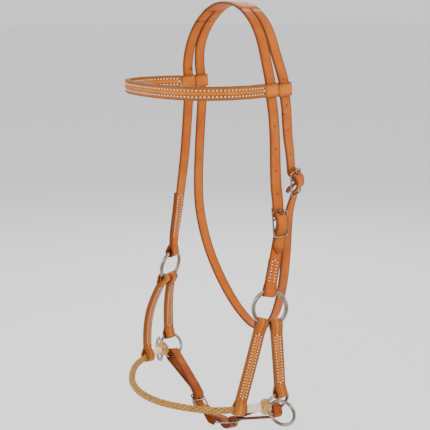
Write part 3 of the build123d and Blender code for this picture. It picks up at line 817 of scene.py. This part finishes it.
def browband_loop(side, name, back, slant, replaced):
    """Flat leather loop round a cheek or throat strap, tilted as the strap is."""
    thickness, corner = 1.7, 2.6
    wide, long = 6.4 / 2 + thickness / 2, 18.0 / 2 + thickness / 2
    bend = [(wide, -long + corner), (wide - corner * 0.3, -long + corner * 0.3), (wide - corner, -long)]
    half = bend + [(-x, y) for x, y in bend[::-1]]
    outline = divided(half + [(-x, -y) for x, y in half], 2.5)
    line = np.array([(side * 95.1 + x, back + y, BROWBAND_LEVEL + slant * y) for x, y in outline])
    hints = np.array([(0.0, slant, -1.0)] * len(line))
    strip(name, line, hints, "browband", LIGHT, replaced, width=17.0, thickness=thickness,
          closed=True, inset=2.2)


# ---------------------------------------------------------------- rope, sleeves, knots
def rope_spline():
    """Centre line of the rope, read from its NURBS spline."""
    level, fall = -517.5, 2 / 130
    points = [KNOT[1] + ROPE_WAY[1] * 2, KNOT[1] + ROPE_WAY[1] * 50]
    points += [(x, y, level + x * fall) for x, y in ((84, -118), (30, -149), (-30, -149), (-84, -118))]
    points += [KNOT[-1] + ROPE_WAY[-1] * 50, KNOT[-1] + ROPE_WAY[-1] * 2]
    curve = bpy.data.curves.new("rope_route", "CURVE")
    curve.dimensions, curve.resolution_u = "3D", 64
    spline = curve.splines.new("NURBS")
    spline.points.add(len(points) - 1)
    for knot, point in zip(spline.points, points):
        knot.co = (*(float(c) * MM for c in point), 1)
    spline.order_u, spline.use_endpoint_u = 3, True
    obj = bpy.data.objects.new("rope_route", curve)
    bpy.context.collection.objects.link(obj)
    bpy.context.view_layer.update()
    mesh = bpy.data.meshes.new_from_object(obj)
    line = np.array([v.co for v in mesh.vertices], float) / MM
    bpy.data.objects.remove(obj)
    bpy.data.meshes.remove(mesh)
    return line


def resample(line, step):
    run = lengths(line)
    marks = np.linspace(0, run[-1], int(run[-1] / step) + 1)
    return np.array([[np.interp(m, run, line[:, c]) for c in range(3)] for m in marks])


def rope():
    """Twelve-plait rope: six laces each way, over and under."""
    line = resample(ROPE, 0.8)
    ups = np.tile((0.0, 0.0, 1.0), (len(line), 1))
    _, first, second = frames(line, ups)
    run = lengths(line)
    pitch, number, core, middle, weaving = 48.0, 6, 3.5, 3.72, 0.4
    strand_radius, strand_sides, flatness = 1.55, 8, 0.4
    parts = [tube_parts(line, np.full(len(line), core), 24)]
    for sense in (1, -1):
        for n in range(number):
            angle = sense * 2 * pi * run / pitch + 2 * pi * n / number
            weave = sense * np.cos(2 * number * pi * run / pitch)
            away = middle + weaving * weave
            out = np.cos(angle)[:, None] * first + np.sin(angle)[:, None] * second
            strand = line + out * away[:, None]
            parts.append(tube_parts(strand, np.full(len(line), strand_radius), strand_sides, flatness,
                                    hints=np.cross(out, np.gradient(strand, axis=0))))
    verts, faces = gather(parts)
    # Seam values are painted shade: the core, seen only between the strands, fully dark, and each strand
    # darker on its edges and inner side than on its outer face.
    gap_shade = np.zeros(len(verts))
    inside = len(parts[0][0])
    gap_shade[:inside] = 1.0
    gap_shade[inside:] = np.tile((0.9, 0.3, 0.0, 0.3, 0.9, 0.9, 0.9, 0.9), (len(verts) - inside) // strand_sides)
    obj = make("rope_noseband", verts, faces, ROPE_LOOK, "noseband", ["rope_noseband"],
               {"seam": gap_shade})
    path = [tuple(p * MM) for p in line[::4]]
    length = float(lengths(line[::4])[-1]) * MM
    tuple(path[0])


def surface(rings, height, radius_at, around=112):
    """Grid round an axis; height(s, angle) is added to radius_at(s)."""
    verts, gap_shade = [], []
    for s, centre, first, second in rings:
        for k in range(around):
            a = 2 * pi * k / around
            lift, seam = height(s, a)
            r = radius_at(s) + lift
            verts.append(centre + (first * cos(a) + second * sin(a)) * r)
            gap_shade.append(seam)
    faces = []
    for i in range(len(rings) - 1):
        for k in range(around):
            n = (k + 1) % around
            faces.append((i * around + k, i * around + n, (i + 1) * around + n, (i + 1) * around + k))
    faces += [tuple(range(around)), tuple(range((len(rings) - 1) * around, len(rings) * around))]
    return verts, faces, gap_shade


def sleeve(side):
    """Flat rawhide lace wound round the rope in close turns."""
    line = resample(ROPE if side == 1 else ROPE[::-1], 0.3)
    run = lengths(line) + 2
    start, end = 5.2, 24.9
    _, first, second = frames(line, np.tile((0.0, 0.0, 1.0), (len(line), 1)))
    rings = [(run[k], line[k], first[k], second[k]) for k in range(len(line)) if start <= run[k] <= end]
    lace = 3.9

    def height(s, a):
        part = ((s + lace * a / (2 * pi)) / lace) % 1.0
        edge = min(part, 1 - part) * lace
        lift = 0.34 * (1 - max(0.0, 1 - edge / 0.75) ** 2)
        # The second value is painted shade: the groove between turns is darker towards each lace's edge.
        return lift, max(0.0, 1 - edge / 0.4) * 0.55

    def radius(s):
        reach = min(s - start, end - s)
        return 5.3 - 0.35 * max(0.0, 1 - reach / 0.9) ** 2

    verts, faces, gap_shade = surface(rings, height, radius, 64)
    name = f"{SIDES[side]}_rawhide_sleeve"
    make(name, verts, faces, PALE_HIDE, "noseband", [name], {"seam": gap_shade})


def knot(side):
    """Turk's-head knot of gold rawhide laces over a barrel, with channels for its two rings."""
    way, up = ROPE_WAY[side], np.array([0.0, 0.0, 1.0])
    second = np.cross(way, up)
    front, back, laces, pitch = 4.9, -7.9, 5, 21.0
    rings = [(s, KNOT[side] + way * s, up, second) for s in np.linspace(front, back, 68)]

    def lace(s, a, sense):
        turn = (laces * (a / (2 * pi) + sense * s / pitch)) % 1.0
        off = abs(2 * turn - 1)
        over = 0.5 + 0.5 * sense * cos(pi * laces * 2 * s / pitch)
        return (0.4 + 1.0 * over) * (1 - off ** 3.5), off, over

    def height(s, a):
        lift, off, over = max(lace(s, a, -1), lace(s, a, 1), key=lambda one: one[0])
        # The second value is painted shade: darker in the gaps between laces and where a lace runs under
        # another.
        return lift, min(1.0, max(0.0, (off - 0.62) / 0.3) * 0.95 + 0.25 * (1 - over))

    def radius(s):
        reach = min(front - s, s - back)
        return 9.5 - 4.0 * max(0.0, 1 - reach / 4.2) ** 2.2

    verts, faces, gap_shade = surface(rings, height, radius)
    name = f"{SIDES[side]}_end_knot"
    obj = make(name, verts, faces, GOLD_HIDE, "noseband", [name], {"seam": gap_shade})
    for plane, wire in ((JAW[side], JAW_WIRE), (rein_plane(side), REIN_WIRE)):
        channel = circle(plane, SMALL_RING, 72)
        cut(obj, [tube_parts(channel, np.full(72, wire + 0.3), 16, closed=True)])


# ---------------------------------------------------------------- doubled side straps
STRAP_BOW = {("front", 1): 1.0, ("front", -1): 13.0, ("rear", 1): 0.5, ("rear", -1): 4.0}


def side_strap(side, which):
    word, ring, front = SIDES[side], RING[side], which == "front"
    bow = STRAP_BOW[which, side]
    if front:
        hold, across_low, radius_low = (-12.3, -18.6), ROPE_WAY[side] * -1, 6.75
        wanted = KNOT[side] + ROPE_WAY[side] * 35
        low = ROPE[np.argmin(np.linalg.norm(ROPE - wanted, axis=1))]
    else:
        hold, across_low, radius_low = (7.3, -21.1), np.array([0.0, 1.0, 0.0]), 5.6
        low = JAW[side].at(0, SMALL_RING)
    top = ring.at(*hold)
    way, span = unit(low - top), np.linalg.norm(low - top)
    first, last = flat(ring.x, way), flat(across_low, way)
    sign = 1 if np.cross(first + last, way)[0] * side > 0 else -1
    slope = atan2(hold[1], hold[0])
    tangent = ring.x * -sin(slope) + ring.y * cos(slope)
    tangent = tangent if tangent.dot(ring.x) > 0 else -tangent
    lean = 0.8 * tangent.dot(way) / max(0.2, tangent.dot(first))
    low_lean = 0.0 if front else across_low.dot(way) / max(0.2, across_low.dot(last))

    def spine(s):
        """Middle of the strap, its across direction and outwards, s along it."""
        part = min(1.0, max(0.0, s / span))
        here = flat(first * (1 - part) + last * part, way)
        out = np.cross(here, way) * sign
        return top + way * s + out * (bow * sin(pi * part)), here, out

    path = loop(5.7, -HALF, HALF) + [(s, HALF) for s in np.linspace(20, span - 20, 8)]
    path += [(span - s, h) for s, h in loop(radius_low, HALF, -HALF)]
    path += [(s, -HALF) for s in np.linspace(span - 20, 20, 8)]
    path = eased(path + path[:1], 3)[:-1]
    spots = [spine(s) for s, _ in path]
    line = np.array([middle + out * h for (middle, _, out), (_, h) in zip(spots, path)])
    hints = np.array([here for _, here, _ in spots])
    ways = frames(line, hints, True)[0]

    def shift(x, k):
        """Turns the folds square to what they hold."""
        s = path[k][0]
        top_part = max(0.0, 1 - max(0.0, s - 4) / 22) ** 1.5
        low_part = max(0.0, 1 - max(0.0, span - s - 4) / 22) ** 1.5
        return (lean * top_part + low_lean * low_part) * x * float(ways[k].dot(way))

    name, width, sewn = f"{word}_{which}_side_strap", 15.6, 3.5
    strip(name, line, hints, "noseband", LIGHT, [name], width=width, closed=True,
          shift=shift, inset=width / 2 - sewn)
    marks = [spine(s) for s in np.linspace(15, span - (17 if front else 15), 30)]
    seam, bits = np.array([middle for middle, _, _ in marks]), np.array([here for _, here, _ in marks])
    rows = seam_rows(seam, bits, 0, lengths(seam)[-1], sewn, HALF + LEATHER / 2 - THREAD_SINK)
    stitches(name + "_stitches", rows, "noseband")


# ---------------------------------------------------------------- chin strap
def cross_flat(p, q):
    return p[0] * q[1] - p[1] * q[0]


def chin():
    ends = {}
    for side, word in SIDES.items():
        plane = BUCKLE[word + "_chin"]
        eye = CHIN_EYE[side] - plane.o
        eye = np.array([eye.dot(plane.x), eye.dot(plane.y)])
        bend_out, bend_in = np.array([-12, -4.0]), np.array([-12, -7.1])
        away = unit(eye - (bend_out + bend_in) / 2)
        aside = np.array([away[1], -away[0]])
        corner = eye + away * 9.6 - aside * 1.2
        tail = np.array(OUTER[-1]) + (8.0 if side == 1 else 22.0, -0.3)
        path = [tail] + OUTER[::-1] + [bend_out, corner + aside * 8.8, corner - aside * 8.8, bend_in] + INNER
        cuts = [1.0] + OUTER_CUT[::-1] + [1.4, 8.2, 8.2, 1.8] + INNER_CUT
        line, hints = rounded([plane.at(*p) for p in path], [plane.z] * len(path), cuts, arc=9)
        name = f"{word}_chin_strap"
        obj = strip(name, line, hints, "chin_strap", CHIN_LEATHER, [name], ends=(True, False),
                    tips=(6.0, 0))
        cut(obj, [tongue_bore(plane)], True)
        before, end = [np.array([(plane.at(*p) - CHIN.o).dot(CHIN.x), (plane.at(*p) - CHIN.o).dot(CHIN.y)])
                       for p in INNER[-2:]]
        ends[side] = (end, unit(end - before))
    (a, way_a), (b, way_b) = ends[1], ends[-1]
    meet = a + way_a * cross_flat(b - a, way_b) / cross_flat(way_a, way_b)
    line, hints = rounded([CHIN.at(*a), CHIN.at(*meet), CHIN.at(*b)], [CHIN.z] * 3, [6.0], run=3)
    strip("chin_strap_middle", line, hints, "chin_strap", CHIN_LEATHER, ["chin_strap_middle"],
          ends=(False, False))


# ---------------------------------------------------------------- metal
def ring_piece(name, plane, radius, wire):
    """Welded ring with a slight swelling at its weld."""
    count = 160
    turns = np.linspace(0, 2 * pi, count, endpoint=False)
    gap = np.minimum(np.abs(turns - 0.9), 2 * pi - np.abs(turns - 0.9)) * radius
    radii = wire * (1 + 0.018 * np.exp(-(gap / 1.1) ** 2) - 0.02 * np.exp(-((gap - 1.9) / 0.5) ** 2))
    verts, faces = tube_parts(circle(plane, radius, count), radii, 24, closed=True)
    make(name, verts, faces, NICKEL, name, [name])


def buckle(word):
    plane, body = BUCKLE[word], BUCKLE_BODY[word]
    long, wide, corner, wire = 34.5, 20.6 / 2, 4.0, 1.2
    outline = []
    for x, z, start in ((long - corner, wide - corner, 0), (corner, wide - corner, 90),
                        (corner, -wide + corner, 180), (long - corner, -wide + corner, 270)):
        outline += [(x + corner * cos(radians(t)), z + corner * sin(radians(t)))
                    for t in np.linspace(start, start + 90, 8)]
    line = np.array([plane.at(x, 0, z) for x, z in divided(outline, 2)])
    marks = np.linspace(-wide, wide, 22)
    flare = wire + 0.16 * np.exp(-((wide - np.abs(marks)) / 1.4) ** 2)
    verts, faces = gather([tube_parts(line, np.full(len(line), wire), 16, closed=True),
                           tube_parts(np.array([plane.at(11.3, 0, z) for z in marks]), flare, 16)])
    make(f"{word}_buckle_frame", verts, faces, NICKEL, body, [f"{word}_buckle_frame"])
    wrap, wrap_faces = tube_parts(circle(plane, 1.72, 28), [1.0] * 28, 10, 0.4, closed=True,
                                  hints=np.tile(plane.z, (28, 1)))
    wrap = [v + plane.z * (v - plane.o).dot(plane.z) * 0.7 for v in wrap]
    shank = eased([plane.at(1.2, 1.7), plane.at(3.5, 1.75), plane.at(7, 2.0), plane.at(10.9, 2.2)], 5)
    radii = np.linspace(1.0, 0.72, len(shank))
    radii[-1] = 0.4
    verts, faces = gather([(wrap, wrap_faces), tube_parts(shank, radii, 12)])
    make(f"{word}_buckle_tongue", verts, faces, NICKEL, word + "_tongue", [f"{word}_buckle_tongue"])


TAN = leather("tan_leather", (186, 96, 18), (166, 78, 12), (200, 118, 42), (92, 42, 10))
LIGHT = leather("light_leather", (196, 112, 32), (178, 92, 20), (212, 138, 60), (112, 60, 18))
CHIN_LEATHER = leather("chin_leather", (160, 76, 14), (134, 56, 8), (178, 98, 30), (80, 34, 8))
WHITE_THREAD = thread("thread", (250, 242, 226), (228, 210, 180))
# Dark brown standing for the shade inside the stitch holes (painted shade).
HOLE_SHADE = thread("painted_hole_shade", (74, 36, 14), (48, 22, 8))
ROPE_LOOK = rawhide("rope", (194, 140, 52), (164, 110, 34), (212, 164, 80), 0.5)
PALE_HIDE = rawhide("pale_rawhide", (238, 218, 190), (222, 196, 160), (246, 232, 210), 0.38)
GOLD_HIDE = rawhide("gold_rawhide", (204, 158, 84), (166, 112, 44), (240, 212, 160), 0.34)
NICKEL = nickel()

camera()
surroundings()
ROPE = rope_spline()
rope()
crown()
near_cheek_billet()
near_throat_billet()
near_lower_cheek()
off_cheek()
throatlatch()
browband()
for side, word in SIDES.items():
    sleeve(side)
    knot(side)
    side_strap(side, "front")
    side_strap(side, "rear")
    ring_piece(f"{word}_side_ring", RING[side], SIDE_RING, SIDE_WIRE)
    ring_piece(f"{word}_jaw_ring", JAW[side], SMALL_RING, JAW_WIRE)
    ring_piece(f"{word}_rein_ring", rein_plane(side), SMALL_RING, REIN_WIRE)
chin()
for word in BUCKLE:
    buckle(word)
